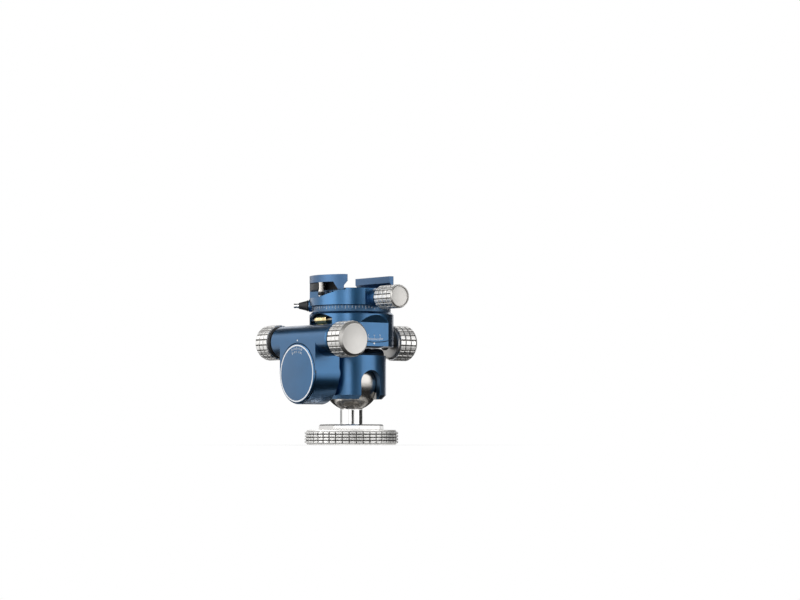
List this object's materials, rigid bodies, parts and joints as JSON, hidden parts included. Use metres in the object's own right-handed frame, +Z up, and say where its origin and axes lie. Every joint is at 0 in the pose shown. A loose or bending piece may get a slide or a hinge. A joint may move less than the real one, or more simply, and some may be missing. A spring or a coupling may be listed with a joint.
{
  "type": "geared tripod head",
  "caption": "Geared tripod head: ball base with drop notch, worm-geared tilt with a dial, worm-geared arc tilt, pan scale and a lever clamp for dovetail plates.",
  "frame": {"origin": "centre of the base ring's foot, at the mouth of the tripod thread", "axes": "+Z up along the stem, -Y out of the dial, +X towards the drop notch and the pan lock knob"},
  "size_m": [0.0986, 0.0881, 0.1066],
  "materials": {
    "anodised_blue": "satin blue anodised aluminium",
    "jaw_blue": "satin lighter blue anodised aluminium",
    "scale_grey": "satin grey-blue anodised aluminium",
    "knurled_silver": "blasted silver anodised aluminium",
    "polished_steel": "polished steel",
    "plain_steel": "turned steel",
    "black_steel": "black oxide steel",
    "brass": "turned brass",
    "black_anodised": "black anodised aluminium",
    "white_nylon": "nylon"
  },
  "bodies": {
    "base": {"base_ring": "knurled_silver", "thread_insert": "plain_steel", "base_plate": "knurled_silver"},
    "ball": {"ball_stem": "polished_steel"},
    "lower_body": {"ball_housing": "anodised_blue", "seat_ring": "white_nylon", "pressure_pad": "white_nylon", "tilt_hub": "scale_grey", "hub_screws": "black_steel", "tilt_shaft": "plain_steel", "tilt_wheel": "brass", "tilt_dial": "anodised_blue"},
    "ball_lock": {"lock_screw": "plain_steel", "lock_knob": "knurled_silver"},
    "tilt_block": {"tilt_block": "anodised_blue", "worm_bushes": "black_steel", "setting_screw": "black_steel", "arc_bush": "black_steel"},
    "tilt_worm": {"tilt_worm": "plain_steel", "front_knob": "knurled_silver", "left_knob": "knurled_silver"},
    "arc_slide": {"gonio_slide": "anodised_blue", "gonio_rack": "plain_steel", "brass_barrel": "brass", "barrel_screw": "polished_steel", "scale_ring": "scale_grey", "pan_post": "plain_steel", "post_washer": "plain_steel", "post_screw": "black_steel"},
    "arc_worm": {"gonio_worm": "plain_steel", "gonio_knob": "knurled_silver"},
    "clamp": {"clamp_base": "anodised_blue", "brake_pad": "white_nylon", "fixed_jaw": "jaw_blue", "jaw_screws": "black_steel"},
    "pan_lock": {"pan_lock_screw": "plain_steel", "pan_lock_knob": "knurled_silver"},
    "plunger": {"plunger_grip": "black_anodised", "plunger_pin": "polished_steel"},
    "jaw": {"moving_jaw": "jaw_blue", "guide_rods": "polished_steel"},
    "lever": {"cam_shaft": "polished_steel", "clamp_lever": "black_anodised"}
  },
  "joints": [
    {"name": "ball_swivel", "type": "hinge", "parent": "base", "child": "ball", "pos_m": [0, 0, 0.03958], "axis": [0, 0, 1], "continuous": true},
    {"name": "ball_tilt", "type": "hinge", "parent": "ball", "child": "lower_body", "pos_m": [0, 0, 0.03958], "axis": [0, 1, 0], "range_deg": [-25, 75]},
    {"name": "ball_lock_turn", "type": "hinge", "parent": "lower_body", "child": "ball_lock", "pos_m": [-0.025, 0, 0.03958], "axis": [-1, 0, 0], "range_deg": [0, 270]},
    {"name": "geared_tilt", "type": "hinge", "parent": "lower_body", "child": "tilt_block", "pos_m": [0, 0, 0.04458], "axis": [0, 1, 0], "range_deg": [-10, 10]},
    {"name": "tilt_worm_turn", "type": "hinge", "parent": "tilt_block", "child": "tilt_worm", "pos_m": [0, -0.0317, 0.06498], "axis": [1, 0, 0], "range_deg": [-401, 401]},
    {"name": "arc_tilt", "type": "hinge", "parent": "tilt_block", "child": "arc_slide", "pos_m": [0, 0, 0.11948], "axis": [1, 0, 0], "range_deg": [-10, 10]},
    {"name": "arc_worm_turn", "type": "hinge", "parent": "tilt_block", "child": "arc_worm", "pos_m": [0, 0, 0.06498], "axis": [0, -1, 0], "range_deg": [-1301, 1301]},
    {"name": "pan", "type": "hinge", "parent": "arc_slide", "child": "clamp", "pos_m": [0, 0, 0.08348], "axis": [0, 0, 1], "continuous": true},
    {"name": "pan_lock_turn", "type": "hinge", "parent": "clamp", "child": "pan_lock", "pos_m": [0.03, 0, 0.09188], "axis": [1, 0, 0], "range_deg": [0, 270]},
    {"name": "plunger_pull", "type": "slide", "parent": "clamp", "child": "plunger", "axis": [-0.6293, -0.7771, 0], "range_m": [0, 0.002], "stiffness_N_per_m": 400, "springref_m": -0.004},
    {"name": "jaw_slide", "type": "slide", "parent": "clamp", "child": "jaw", "axis": [0, -1, 0], "range_m": [0, 0.0024]},
    {"name": "lever_swing", "type": "hinge", "parent": "jaw", "child": "lever", "pos_m": [0.001, -0.024, 0.09808], "axis": [0, 0, 1], "range_deg": [0, 90]}
  ],
  "couplings": [
    {"joint": "tilt_worm_turn", "follows": "geared_tilt", "ratio": 40},
    {"joint": "arc_worm_turn", "follows": "arc_tilt", "ratio": 130},
    {"joint": "jaw_slide", "follows": "lever_swing", "m_per_rad": 0.0014}
  ]
}
